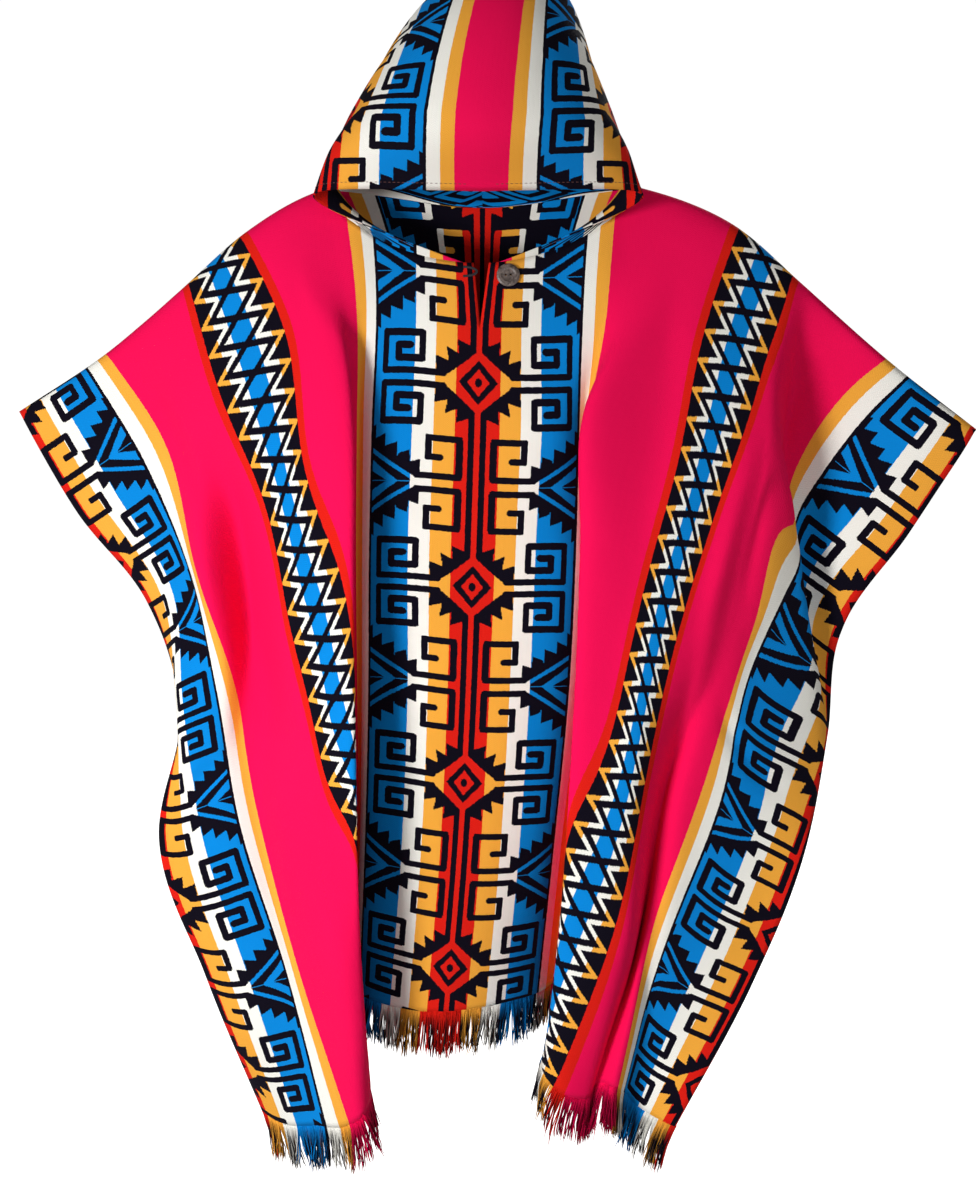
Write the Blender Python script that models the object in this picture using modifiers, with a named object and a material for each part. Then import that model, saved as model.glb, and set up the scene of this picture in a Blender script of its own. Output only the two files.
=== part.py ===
"""Hooded poncho of striped, patterned cloth, hung by its shoulders and filled out.

Frame: metres, +Z up. The front faces -Y and the wearer's left sleeve is at +X.
The origin is at the middle of the shoulders, in the neck.

The body is one length of cloth. Each of its points has a place in the flat cut:
u, across the cloth from the middle line, and v, down from the shoulder fold.
"""
import math
import random
from collections import namedtuple

import bmesh
import bpy
import numpy as np
from mathutils import Matrix, Vector

MM = 0.001

# ---------------------------------------------------------------- driving sizes
CLOTH = 2.0 * MM              # wall of the woven cloth
SEAM_GAP = 0.3 * MM           # between two sewn pieces
HALF_WIDTH = 556.0            # flat cloth, middle to selvedge, mm
LENGTH = 842.0                # flat cloth, shoulder fold to hem, mm
NECK_HALF_WIDTH = 150.0       # neck hole in the flat cloth, mm
NECK_FRONT = 85.0             # how far the hole reaches down the front, mm
NECK_BACK = 30.0              # and down the back, mm
SLIT_END = 145.0              # the front slit's lower end, mm
SLIT_HALF_GAP = 7.0           # half the slit's width at the neck, mm
FOLD_START = 1.3              # front and back each start this far from the fold, mm
FOLD_BEND = 1.4               # half the distance between them there, mm
SHOULDER_ROLL = (7.0, 26.0)   # extra rounding over the shoulder: height, reach, mm
BUTTON_DIAMETER = 22.0 * MM
BUTTON_THICKNESS = 3.4 * MM
BUTTON_HOLE = 2.2 * MM
BUTTON_PLACE = (25.0, 98.0)   # u, v of the button's middle on the front, mm
LOOP_CORD = 1.2 * MM          # radius of the button loop's cord
FRINGE_STRIP = 6.0 * MM       # height of the strip that the fringe hangs from
LOCK_MIN_COSINE = 0.92        # no lock where the hem turns more sharply than this
LOCK_MIN_WIDTH = 5.0 * MM     # nor where the strip's part is narrower than this
FRINGE_LENGTH = 46.0 * MM
COLUMN = {"front": 32.0, "back": 26.0}           # mesh columns across the cloth, mm
LOCK_SPACING = {"front": 11.5, "back": 15.5}     # along the flat hem, mm

# ---------------------------------------------------------------- shape tables, mm
# The shoulder fold: flat place u and where it lies.
Ridge = namedtuple("Ridge", "u x y z")
RIDGE = (
    Ridge(-556, -468, 80, -221),
    Ridge(-439, -372, 52, -160),
    Ridge(-327, -289, 20, -94),
    Ridge(-243, -222, 5, -38),
    Ridge(-150, -146, 0, 2),
    Ridge(0, 5, 0, 6),
    Ridge(150, 152, 0, 4),
    Ridge(243, 242, -10, -30),
    Ridge(327, 308, -22, -85),
    Ridge(439, 387, -38, -157),
    Ridge(556, 477, -50, -223),
)

# Levels down the cloth, mm from the shoulder fold. Each fold row has its flat
# place u at all seven levels, and its x and y at the six below the shoulder.
LEVELS = (0, 120, 240, 360, 500, 660, 842)
Fold = namedtuple("Fold", "name u x y")
FRONT_FOLDS = (
    Fold("selvedge right", (-556,) * 7,
         (-409, -336, -304, -322, -280, -227), (60, 40, 20, -30, -30, -10)),
    Fold("turned edge right", (-520,) * 7,
         (-378, -315, -302, -289, -244, -197), (45, 20, -10, -35, -50, -35)),
    Fold("band right", (-465,) * 7,
         (-331, -285, -260, -240, -194, -155), (20, 0, -30, -40, -60, -60)),
    Fold("sleeve crest right", (-439,) * 7,
         (-307, -277, -245, -222, -183, -130), (10, -30, -30, -36, -60, -84)),
    Fold("sleeve valley right", (-380, -370, -365, -400, -410, -428, -436),
         (-281, -229, -220, -203, -175, -128), (-12, -30, -15, -52, -68, -87)),
    Fold("column side right", (-327, -327, -327, -327, -365, -412, -432),
         (-255, -205, -178, -170, -156, -124), (-30, -65, -80, -85, -90, -90)),
    Fold("column front right", (-243, -243, -243, -285, -320, -388, -424),
         (-173, -155, -145, -144, -135, -117), (-50, -85, -100, -105, -112, -91)),
    Fold("column crest right", (-160, -150, -194, -240, -286, -364, -412),
         (-130, -116, -117, -118, -118, -111), (-50, -95, -108, -120, -120, -83)),
    Fold("pleat turn right", (-152, -144, -175, -205, -240, -300, -350),
         (-125, -122, -126, -130, -138, -130), (-48, -78, -80, -85, -72, -35)),
    Fold("pleat back right", (-142, -138, -150, -165, -180, -215, -230),
         (-120, -124, -142, -160, -190, -205), (-47, -60, -52, -45, -10, 36)),
    Fold("panel gold right", (-131,) * 7,
         (-114, -116, -118, -120, -122, -132), (-46, -45, -45, -38, -12, 22)),
    Fold("panel edge right", (-105,) * 7,
         (-95, -101, -105, -110, -117, -127), (-45, -55, -55, -50, -35, -2)),
    Fold("middle", (0,) * 7,
         (3, 0, -4, -11, -23, -38), (-50, -65, -65, -65, -60, -50)),
    Fold("panel edge left", (105,) * 7,
         (100, 96, 94, 89, 75, 60), (-45, -55, -55, -50, -35, -10)),
    Fold("panel gold left", (131, 131, 118, 128, 131, 131, 131),
         (123, 104, 112, 108, 92, 76), (-47, -46, -42, -32, -15, 10)),
    Fold("pleat turn left", (136, 139, 138, 150, 170, 180, 205),
         (131, 107, 118, 125, 132, 130), (-48, -66, -65, -60, -45, -20)),
    Fold("column crest left", (150, 150, 152, 178, 212, 266, 316),
         (141, 100, 98, 93, 86, 73), (-50, -80, -95, -110, -120, -110)),
    Fold("column front left", (243, 243, 243, 243, 243, 290, 322),
         (205, 182, 153, 123, 107, 80), (-60, -90, -105, -115, -125, -115)),
    Fold("column side left", (300, 327, 327, 327, 327, 327, 335),
         (271, 231, 196, 167, 140, 98), (-66, -90, -105, -110, -125, -112)),
    Fold("column valley left", (306, 336, 380, 370, 352, 398, 388),
         (277, 256, 218, 180, 165, 117), (-66, -85, -95, -88, -76, -98)),
    Fold("column outer left", (312, 341, 439, 439, 439, 439, 434),
         (281, 286, 252, 210, 171, 137), (-65, -76, -85, -95, -110, -111)),
    Fold("band left", (315, 343, 455, 465, 465, 465, 475),
         (283, 304, 260, 233, 187, 150), (-63, -66, -80, -90, -100, -86)),
    Fold("sleeve crest left", (318, 345, 470, 540, 545, 545, 545),
         (284, 312, 342, 313, 263, 191), (-61, -60, -42, -80, -94, -104)),
    Fold("sleeve valley left", (340, 408, 508, 550, 551, 551, 551),
         (302, 321, 346, 317, 267, 194), (-18, -24, -36, -80, -94, -105)),
    Fold("selvedge left", (556,) * 7,
         (417, 359, 348, 321, 271, 198), (-50, -30, -32, -80, -94, -106)),
)
BACK_FOLDS = (
    Fold("selvedge right", (-556,) * 7,
         (-405, -335, -296, -300, -270, -230), (92, 87, 80, 70, 66, 64)),
    Fold("sleeve fold right", (-470,) * 7,
         (-340, -284, -262, -262, -246, -215), (82, 100, 128, 130, 124, 112)),
    Fold("outer valley right", (-385,) * 7,
         (-275, -224, -205, -205, -192, -178), (64, 74, 88, 92, 92, 82)),
    Fold("outer crest right", (-300,) * 7,
         (-208, -172, -160, -160, -155, -152), (58, 90, 118, 132, 142, 148)),
    Fold("inner valley right", (-210,) * 7,
         (-140, -118, -108, -108, -110, -112), (50, 66, 82, 88, 88, 82)),
    Fold("inner crest right", (-120,) * 7,
         (-86, -78, -72, -70, -70, -72), (48, 74, 100, 118, 132, 142)),
    Fold("middle", (0,) * 7,
         (4, 2, 0, -4, -8, -10), (44, 58, 70, 80, 84, 88)),
    Fold("inner crest left", (120,) * 7,
         (92, 84, 76, 68, 58, 52), (46, 74, 100, 118, 132, 142)),
    Fold("inner valley left", (210,) * 7,
         (150, 128, 116, 108, 100, 92), (44, 62, 78, 84, 86, 80)),
    Fold("outer crest left", (300,) * 7,
         (220, 186, 170, 160, 146, 130), (46, 82, 112, 128, 140, 148)),
    Fold("outer valley left", (385,) * 7,
         (284, 240, 218, 206, 182, 152), (36, 56, 76, 84, 88, 82)),
    Fold("sleeve fold left", (470,) * 7,
         (348, 300, 276, 262, 232, 180), (26, 58, 96, 112, 116, 112)),
    Fold("selvedge left", (556,) * 7,
         (410, 350, 330, 305, 262, 194), (0, 22, 36, 40, 42, 36)),
)

# Share of the warp's length that small creases take up below the sleeve.
TakeUp = namedtuple("TakeUp", "u share")
TAKE_UP = (TakeUp(-556, 0.060), TakeUp(-439, 0.020), TakeUp(-327, 0.0),
           TakeUp(327, 0.0), TakeUp(439, 0.050), TakeUp(556, 0.130))
TAKE_UP_FROM = 240.0

# The hood's left half: sections from the face opening to the seam down the back.
# Each runs from the middle seam, by two handles, to its place on the neck seam. The
# right half has the same seam and its handles mirrored.
HoodSection = namedtuple("HoodSection", "top upper side")
HOOD_SECTIONS = (
    HoodSection((4, -112, 2), (178, -112, 6), (222, -12, 10)),
    HoodSection((4, -152, 56), (152, -146, 60), (178, 0, 38)),
    HoodSection((4, -138, 118), (124, -136, 120), (144, 8, 30)),
    HoodSection((4, -100, 174), (99, -98, 180), (131, 50, 46)),
    HoodSection((4, -46, 206), (83, -26, 214), (105, 84, 70)),
    HoodSection((4, 16, 212), (0, 66, 150), (0, 84, 62)),
)
HOOD_LEAN = 15.0              # how far the hood leans to +X at HOOD_LEAN_HEIGHT, mm
HOOD_LEAN_HEIGHT = 160.0
NECK_TIP_ANGLE = math.radians(5.0)     # where the hood's front ends, from the slit
HOOD_INSET = 1.5              # how far inside the neck hole the hood's feet stand, mm
HOOD_LIFT = 0.3               # and how far above it, mm

# ---------------------------------------------------------------- materials
Paint = namedtuple("Paint", "colour roughness metallic")
PINK = Paint((0.80, 0.012, 0.110), 0.85, 0.0)
FRINGE = Paint((0.55, 0.05, 0.05), 0.90, 0.0)
COCONUT = Paint((0.16, 0.12, 0.10), 0.45, 0.0)
THREAD = Paint((0.015, 0.012, 0.020), 0.80, 0.0)


# ---------------------------------------------------------------- curves
def tangents(knots, values):
    """Slopes at the knots, from the knots on each side."""
    gap = np.diff(knots, axis=0)
    rise = np.diff(values, axis=0) / gap
    inner = (gap[1:] * rise[:-1] + gap[:-1] * rise[1:]) / (gap[1:] + gap[:-1])
    return np.concatenate([rise[:1], inner, rise[-1:]])


def smooth(knots, values, at):
    """A cubic through the values. Knots and values may differ from place to place."""
    at = np.asarray(at, float)
    knots = np.broadcast_to(np.reshape(knots, (len(knots), -1)), (len(knots), at.size))
    values = np.broadcast_to(np.reshape(values, (len(values), -1)), knots.shape)
    slope = tangents(knots, values)
    span = np.clip((knots[1:-1] <= at).sum(axis=0), 0, len(knots) - 2)
    pick = np.arange(at.size)
    k0, k1 = knots[span, pick], knots[span + 1, pick]
    h = k1 - k0
    t = (at - k0) / h
    return (values[span, pick] * (1 + 2 * t) * (1 - t) ** 2
            + values[span + 1, pick] * t * t * (3 - 2 * t)
            + slope[span, pick] * h * t * (1 - t) ** 2
            + slope[span + 1, pick] * h * t * t * (t - 1))


def ridge(u):
    """Points of the shoulder fold at flat places u, as rows x, y, z."""
    knots = [row.u for row in RIDGE]
    return np.array([smooth(knots, [getattr(row, axis) for row in RIDGE], u)
                     for axis in "xyz"])


class HungCloth:
    """Half of the body, from the shoulder fold down, in the place where it hangs."""

    def __init__(self, folds, facing):
        self.folds = folds
        self.facing = facing                      # -1 front, +1 back
        self.u_grid = np.arange(-HALF_WIDTH, HALF_WIDTH + 1, 4.0)
        self.v_grid = np.arange(0, LENGTH + 5, 5.0)
        self.drop = self.measure_drop()

    def fold_lines(self, v):
        """Where every fold line runs at the levels v: flat places, x and y."""
        lines = []
        for fold in self.folds:
            x0, y0, _ = ridge([fold.u[0]])
            lines.append([smooth(LEVELS, fold.u, v),
                          smooth(LEVELS, (x0[0],) + fold.x, v),
                          smooth(LEVELS, (y0[0],) + fold.y, v)])
        return np.array(lines).transpose(1, 0, 2)

    def plan(self, u, v):
        """x and y of the cloth."""
        flat, x, y = self.fold_lines(v)
        height, reach = SHOULDER_ROLL
        roll = self.facing * (FOLD_BEND + height * v / reach * np.exp(1 - v / reach))
        return smooth(flat, x, u), smooth(flat, y, u) + roll

    def measure_drop(self):
        """z on a grid: the warp keeps its length, so what x and y leave is drop."""
        u, v = np.meshgrid(self.u_grid, self.v_grid, indexing="ij")
        x, y = (axis.reshape(u.shape) for axis in self.plan(u.ravel(), v.ravel()))
        step = np.diff(self.v_grid)
        fall = np.sqrt(np.maximum(step ** 2 - np.diff(x) ** 2 - np.diff(y) ** 2,
                                  (0.15 * step) ** 2))
        share = np.interp(u, [row.u for row in TAKE_UP], [row.share for row in TAKE_UP])
        fall *= 1 - np.where(v > TAKE_UP_FROM, share, 0)[:, 1:]
        start = ridge(self.u_grid)[2][:, None]
        return np.hstack([start, start - np.cumsum(fall, axis=1)])

    def points(self, u, v):
        """Points in metres for arrays of flat places."""
        u, v = np.asarray(u, float), np.asarray(v, float)
        x, y = self.plan(u, v)
        i = np.clip((u - self.u_grid[0]) / 4.0, 0, len(self.u_grid) - 1.001)
        j = np.clip(v / 5.0, 0, len(self.v_grid) - 1.001)
        i0, j0 = i.astype(int), j.astype(int)
        a, b = i - i0, j - j0
        z = (self.drop[i0, j0] * (1 - a) * (1 - b) + self.drop[i0 + 1, j0] * a * (1 - b)
             + self.drop[i0, j0 + 1] * (1 - a) * b + self.drop[i0 + 1, j0 + 1] * a * b)
        return np.stack([x, y, z], axis=-1) * MM


def slit_spread(u, v):
    """How far the slit's two edges stand from the middle line, in metres."""
    open_part = np.clip((SLIT_END - v) / (SLIT_END - NECK_FRONT), 0, 1)
    return SLIT_HALF_GAP * MM * open_part * np.exp(-abs(u) / 25.0)


# ---------------------------------------------------------------- building
def material(name, paint):
    """A Principled material."""
    made = bpy.data.materials.new(name)
    made.use_nodes = True
    shader = made.node_tree.nodes["Principled BSDF"]
    shader.inputs["Base Color"].default_value = (*paint.colour, 1.0)
    shader.inputs["Roughness"].default_value = paint.roughness
    shader.inputs["Metallic"].default_value = paint.metallic
    return made


def add_object(name, mesh_data, paint, parent):
    """Put a bmesh into the scene as a named object with its own material."""
    mesh = bpy.data.meshes.new(name)
    bmesh.ops.recalc_face_normals(mesh_data, faces=mesh_data.faces)
    mesh_data.to_mesh(mesh)
    mesh_data.free()
    mesh.materials.append(material(name, paint))
    made = bpy.data.objects.new(name, mesh)
    bpy.context.scene.collection.objects.link(made)
    made.parent = parent
    return made


def add_wall(made, thickness=CLOTH):
    """Give an open surface its cloth wall."""
    wall = made.modifiers.new("wall", "SOLIDIFY")
    wall.thickness = thickness
    wall.offset = 0.0
    return made


def body_columns(folds, spacing):
    """The mesh columns: a function of the levels, and the middle one's number."""
    counts = [max(1, round(max(np.subtract(b.u, a.u)) / spacing))
              for a, b in zip(folds[:-1], folds[1:])]

    def places(v):
        flat = [smooth(LEVELS, fold.u, v) for fold in folds]
        columns = [a + (b - a) * i / count
                   for count, a, b in zip(counts, flat[:-1], flat[1:])
                   for i in range(count)]
        return np.array(columns + [flat[-1]])
    middle = sum(count for count, fold in zip(counts, folds) if fold.u[0] < 0)
    return places, middle


def neck_edge(u, depth):
    """How far down the neck hole reaches at flat places u."""
    return depth * np.sqrt(np.clip(1 - (u / NECK_HALF_WIDTH) ** 2, 0, 1))


def row_places(places, depth, share):
    """Flat places of one row of the panel, a share of the way from its top to the hem."""
    level = np.zeros(len(places([0.0])))
    for _ in range(3):                            # columns move a little with level
        u = np.diagonal(places(level))
        top = np.maximum(neck_edge(u, depth), FOLD_START)
        level = top + share * (LENGTH - top)
    return u, level


def body_panel(name, cloth, depth, rows, spacing, slit_rows, paint, parent):
    """The front or the back: a grid from the shoulder and neck to the hem."""
    places, middle = body_columns(cloth.folds, spacing)
    mesh = bmesh.new()
    slit_share = (SLIT_END - NECK_FRONT) / (LENGTH - NECK_FRONT)
    shares = [slit_share * j / slit_rows for j in range(slit_rows)] if slit_rows else []
    start = slit_share if slit_rows else 0.0
    shares += [start + (1 - start) * j / rows for j in range(rows + 1)]
    grid = []
    for share in shares:
        u, level = row_places(places, depth, share)
        points = cloth.points(u, level)
        row = []
        for i, point in enumerate(points):
            side = np.sign(i - middle)
            point[0] += side * slit_spread(u[i], level[i]) if slit_rows else 0
            row.append(mesh.verts.new(point))
        grid.append(row)
    split = slit_rows
    for j in range(len(shares) - 1):
        for i in range(len(grid[0]) - 1):
            corners = [grid[j][i], grid[j][i + 1], grid[j + 1][i + 1], grid[j + 1][i]]
            mesh.faces.new(corners)
    if split:
        open_slit(mesh, [grid[j][middle] for j in range(split + 1)], cloth, shares)
    return add_wall(add_object(name, mesh, paint, parent))


def open_slit(mesh, line, cloth, shares):
    """Cut the front down its middle line and draw the two edges apart."""
    edges = [mesh.edges.get((a, b)) for a, b in zip(line[:-1], line[1:])]
    places = [vert.co.copy() for vert in line[:-1]]
    bmesh.ops.split_edges(mesh, edges=edges)
    for j, place in enumerate(places):
        level = NECK_FRONT + shares[j] * (LENGTH - NECK_FRONT)
        spread = float(slit_spread(0.0, level))
        for vert in mesh.verts:
            if (vert.co - place).length < 1e-7:
                side = sum(face.calc_center_median().x - place.x
                           for face in vert.link_faces)
                vert.co.x += math.copysign(spread, side)


def neck_seam(front, back, side):
    """Angles round the neck hole from the slit, and the hood's feet just inside it.

    The feet stand beside the mesh columns of the front and the back.
    """
    feet = {}
    for cloth, depth, spacing in ((front, NECK_FRONT, COLUMN["front"]),
                                  (back, NECK_BACK, COLUMN["back"])):
        u, v = row_places(body_columns(cloth.folds, spacing)[0], depth, 0.0)
        angle = np.arctan2(u * side / NECK_HALF_WIDTH, v / depth)
        angle = np.sort(angle[(angle > 2 * NECK_TIP_ANGLE) & (v > 2 * FOLD_START)])
        angle = np.append(angle, NECK_TIP_ANGLE if cloth is front else 0.0)
        u, v = side * NECK_HALF_WIDTH * np.sin(angle), depth * np.cos(angle)
        slope = np.stack([u / NECK_HALF_WIDTH ** 2, v / depth ** 2])
        inside = HOOD_INSET * slope / np.linalg.norm(slope, axis=0)
        points = cloth.points(u - inside[0], v - inside[1])
        if cloth is front:
            points[:, 0] += side * slit_spread(u, v)
        points[:, 2] += HOOD_LIFT * MM
        feet.update(zip(angle if cloth is front else math.pi - angle, points / MM))
    angles = np.array(sorted(feet))
    return angles, np.array([feet[angle] for angle in angles])


def hood_grid(front, back, across, side):
    """Points of half the hood, from the middle seam to the neck seam."""
    angles, feet = neck_seam(front, back, side)
    last = len(HOOD_SECTIONS) - 1
    at = last * (angles - angles[0]) / (angles[-1] - angles[0])
    flip = np.array([side, 1, 1])
    t = np.linspace(0, 1, across + 1)[:, None]
    sections = []
    for number, row in enumerate(HOOD_SECTIONS):
        foot = np.array([np.interp(number, at, feet[:, axis]) for axis in range(3)])
        sections.append((1 - t) ** 3 * np.array(row.top)
                        + 3 * t * (1 - t) ** 2 * np.array(row.upper) * flip
                        + 3 * t * t * (1 - t) * np.array(row.side) * flip + t ** 3 * foot)
    beyond = sections[-2] * [-1, 1, 1] + [2 * sections[-1][0, 0], 0, 0]
    sections = np.array(sections + [beyond])
    knots = np.arange(len(sections))
    grid = np.array([np.transpose([smooth(knots, sections[:, i, axis], at)
                                   for axis in range(3)]) for i in range(across + 1)])
    grid += t[:, None] ** 3 * (feet - grid[-1])
    clear = side * (grid[..., 0] - grid[:, -1:, 0])
    grid[..., 0] += side * np.maximum(0, (SEAM_GAP + CLOTH) / 2 / MM - clear)
    grid[..., 0] += HOOD_LEAN * (np.maximum(grid[..., 2], 0) / HOOD_LEAN_HEIGHT) ** 2
    return grid * MM


def hood(front, back, parent):
    """The two halves of the hood, parted along the seam over its top and down its back."""
    for name, side in (("hood_right", -1), ("hood_left", 1)):
        points = hood_grid(front, back, 16, side)
        mesh = bmesh.new()
        grid = [[mesh.verts.new(point) for point in row] for row in points]
        for i in range(len(grid) - 1):
            for j in range(len(grid[0]) - 1):
                mesh.faces.new((grid[i][j], grid[i + 1][j],
                                grid[i + 1][j + 1], grid[i][j + 1]))
        add_wall(add_object(name, mesh, PINK, parent))


def fringe(name, cloth, column_spacing, lock_spacing, seed, paint, parent):
    """A narrow strip along the hem, with its underside drawn out into locks."""
    rand = random.Random(seed)
    columns = body_columns(cloth.folds, column_spacing)[0]([LENGTH])[:, 0]
    corners = cloth.points(columns, np.full(len(columns), LENGTH))
    falls = corners - cloth.points(columns, np.full(len(columns), LENGTH - 12))
    falls /= np.linalg.norm(falls, axis=1)[:, None]
    hem, fall = [], []
    for i, (a, b) in enumerate(zip(columns[:-1], columns[1:])):
        locks = max(1, round((b - a) / lock_spacing))
        for share in np.arange(locks) / locks:
            hem.append(corners[i] + (corners[i + 1] - corners[i]) * share)
            fall.append(falls[i] + (falls[i + 1] - falls[i]) * share)
    hem = np.array(hem + [corners[-1]])
    fall = np.array(fall + [falls[-1]])
    out = np.cross(np.gradient(hem, axis=0), fall)
    out /= np.linalg.norm(out, axis=1)[:, None]
    mesh = bmesh.new()
    rings = []
    for point, side, down in zip(hem, out, fall):
        top = Vector(point + down * (SEAM_GAP + 1.1 * CLOTH))
        off = Vector(side) * 0.45 * CLOTH
        drop = Vector(down) * FRINGE_STRIP
        rings.append([mesh.verts.new(p) for p in
                      (top + off, top - off, top - off + drop, top + off + drop)])
    run = np.diff(hem, axis=0)
    width = np.linalg.norm(run, axis=1)
    run /= width[:, None]
    turns = (run[:-1] * run[1:]).sum(axis=1)
    straight = (np.minimum(np.append(turns, 1), np.append(1, turns)) > LOCK_MIN_COSINE
                ) & (width > LOCK_MIN_WIDTH)
    under = []
    for a, b, roomy in zip(rings[:-1], rings[1:], straight):
        for i in range(4):
            face = mesh.faces.new((a[i], a[(i + 1) % 4], b[(i + 1) % 4], b[i]))
            if i == 2 and roomy:
                under.append(face)
    mesh.faces.new(rings[0])
    mesh.faces.new(rings[-1][::-1])
    bmesh.ops.recalc_face_normals(mesh, faces=mesh.faces)
    shrink = (0.80, 0.35)
    reach = (0.55, 0.45)
    hang = []
    for down in ((fall[:-1] + fall[1:]) / 2)[straight]:
        lean = Vector((rand.uniform(-0.035, 0.035), rand.uniform(-0.02, 0.02), 0))
        hang.append((Vector(down) + lean) * FRINGE_LENGTH * rand.uniform(0.82, 1.12))
    for scale, share in zip(shrink, reach):
        result = bmesh.ops.extrude_discrete_faces(mesh, faces=under)
        under = result["faces"]
        for face, lock in zip(under, hang):
            middle = face.calc_center_median()
            bmesh.ops.scale(mesh, vec=(scale,) * 3, verts=face.verts,
                            space=Matrix.Translation(-middle))
            bmesh.ops.translate(mesh, verts=face.verts, vec=lock * share)
    return add_object(name, mesh, paint, parent)


def surface_frame(cloth, u, v):
    """Middle and axes of the cloth at one place: across, down and outward."""
    here, right, down = cloth.points([u, u + 4, u], [v, v, v + 6])
    across = Vector(right - here).normalized()
    below = Vector(down - here)
    outward = across.cross(below).normalized() * -1
    if outward.y > 0:
        outward.negate()
    return Vector(here), across, outward


def button(cloth, parent):
    """A domed, two-hole button, flat against the front beside the slit."""
    here, across, outward = surface_frame(cloth, *BUTTON_PLACE)
    here.x += float(slit_spread(*BUTTON_PLACE))
    radius = BUTTON_DIAMETER / 2
    profile = ((0.0, 0.0), (0.86, 0.0), (1.0, 0.25), (1.0, 0.6), (0.86, 0.92),
               (0.66, 1.0), (0.5, 0.78), (0.0, 0.72))
    mesh = bmesh.new()
    line = [mesh.verts.new((r * radius, 0, h * BUTTON_THICKNESS)) for r, h in profile]
    edges = [mesh.edges.new(pair) for pair in zip(line[:-1], line[1:])]
    bmesh.ops.spin(mesh, geom=line + edges, angle=math.tau, steps=22, axis=(0, 0, 1),
                   cent=(0, 0, 0), use_merge=True)
    bmesh.ops.remove_doubles(mesh, verts=mesh.verts, dist=1e-6)
    made = add_object("button", mesh, COCONUT, parent)
    for side in (-1, 1):
        drill = bmesh.new()
        bmesh.ops.create_cone(drill, cap_ends=True, segments=10, radius1=BUTTON_HOLE / 2,
                              radius2=BUTTON_HOLE / 2, depth=4 * BUTTON_THICKNESS)
        bmesh.ops.translate(drill, verts=drill.verts, vec=(side * 2.4 * MM, 0, 0))
        cut(made, drill)
    lift = CLOTH / 2 + SEAM_GAP
    depth = outward.cross(across)
    made.matrix_world = Matrix.Translation(here + outward * lift) @ Matrix(
        (across, depth, outward)).transposed().to_4x4()
    return made


def cut(made, drill):
    """Cut a shape out of an object."""
    mesh = bpy.data.meshes.new("cutter")
    drill.to_mesh(mesh)
    drill.free()
    cutter = bpy.data.objects.new("cutter", mesh)
    bpy.context.scene.collection.objects.link(cutter)
    boolean = made.modifiers.new("hole", "BOOLEAN")
    boolean.operation = "DIFFERENCE"
    boolean.solver = "EXACT"
    boolean.object = cutter
    bpy.context.view_layer.update()
    graph = bpy.context.evaluated_depsgraph_get()
    result = bpy.data.meshes.new_from_object(made.evaluated_get(graph))
    made.modifiers.clear()
    made.data = result
    bpy.data.objects.remove(cutter)


def button_loop(cloth, parent):
    """A bent cord at the other edge of the slit."""
    here, across, outward = surface_frame(cloth, -14.0, 94.0)
    here.x -= float(slit_spread(-14.0, 94.0))
    down = across.cross(outward)
    if down.z > 0:
        down.negate()
    base = here + outward * (CLOTH / 2 + LOOP_CORD + 0.5 * MM)
    bends = 9
    mesh = bmesh.new()
    rings = []
    path = [base + across * 13 * MM * math.sin(math.pi * i / bends)
            + down * 4.5 * MM * -math.cos(math.pi * i / bends) for i in range(bends + 1)]
    for i, point in enumerate(path):
        ahead = (path[min(i + 1, bends)] - path[max(i - 1, 0)]).normalized()
        side = ahead.cross(outward).normalized()
        rings.append([mesh.verts.new(point + (side * math.cos(a) + outward * math.sin(a))
                                     * LOOP_CORD)
                      for a in (math.tau * k / 8 for k in range(8))])
    for a, b in zip(rings[:-1], rings[1:]):
        for k in range(8):
            mesh.faces.new((a[k], a[(k + 1) % 8], b[(k + 1) % 8], b[k]))
    mesh.faces.new(rings[0])
    mesh.faces.new(rings[-1][::-1])
    return add_object("button_loop", mesh, THREAD, parent)


def build():
    """The whole poncho."""
    for old in list(bpy.data.objects):
        bpy.data.objects.remove(old, do_unlink=True)
    root = bpy.data.objects.new("poncho", None)
    bpy.context.scene.collection.objects.link(root)

    front = HungCloth(FRONT_FOLDS, -1)
    back = HungCloth(BACK_FOLDS, 1)
    body_panel("front", front, NECK_FRONT, 24, COLUMN["front"], 2, PINK, root)
    body_panel("back", back, NECK_BACK, 20, COLUMN["back"], 0, PINK, root)
    hood(front, back, root)
    fringe("fringe_front", front, COLUMN["front"], LOCK_SPACING["front"], 5, FRINGE, root)
    fringe("fringe_back", back, COLUMN["back"], LOCK_SPACING["back"], 9, FRINGE, root)
    button(front, root)
    button_loop(front, root)


build()
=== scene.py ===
"""The look of a hooded poncho of striped, patterned cloth, hung by its shoulders."""
import math
import random
from collections import namedtuple

import bmesh
import bpy
import numpy as np
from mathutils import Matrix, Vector


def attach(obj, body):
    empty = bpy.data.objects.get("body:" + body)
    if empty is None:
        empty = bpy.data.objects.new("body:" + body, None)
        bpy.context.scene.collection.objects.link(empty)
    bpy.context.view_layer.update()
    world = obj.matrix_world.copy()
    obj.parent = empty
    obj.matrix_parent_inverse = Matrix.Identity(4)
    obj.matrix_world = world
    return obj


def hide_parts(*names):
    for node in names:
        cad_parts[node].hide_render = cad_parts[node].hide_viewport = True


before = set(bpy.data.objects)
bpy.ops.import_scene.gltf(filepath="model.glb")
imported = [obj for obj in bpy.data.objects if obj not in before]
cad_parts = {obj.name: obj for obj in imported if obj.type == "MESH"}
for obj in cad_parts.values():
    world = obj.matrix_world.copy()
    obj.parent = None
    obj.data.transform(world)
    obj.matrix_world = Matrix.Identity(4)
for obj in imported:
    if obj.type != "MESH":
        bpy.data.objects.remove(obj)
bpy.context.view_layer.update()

MM = 0.001


def table(kind, *rows):
    """A table's rows, with names for their columns."""
    return tuple(kind(*row) for row in rows)


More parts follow.
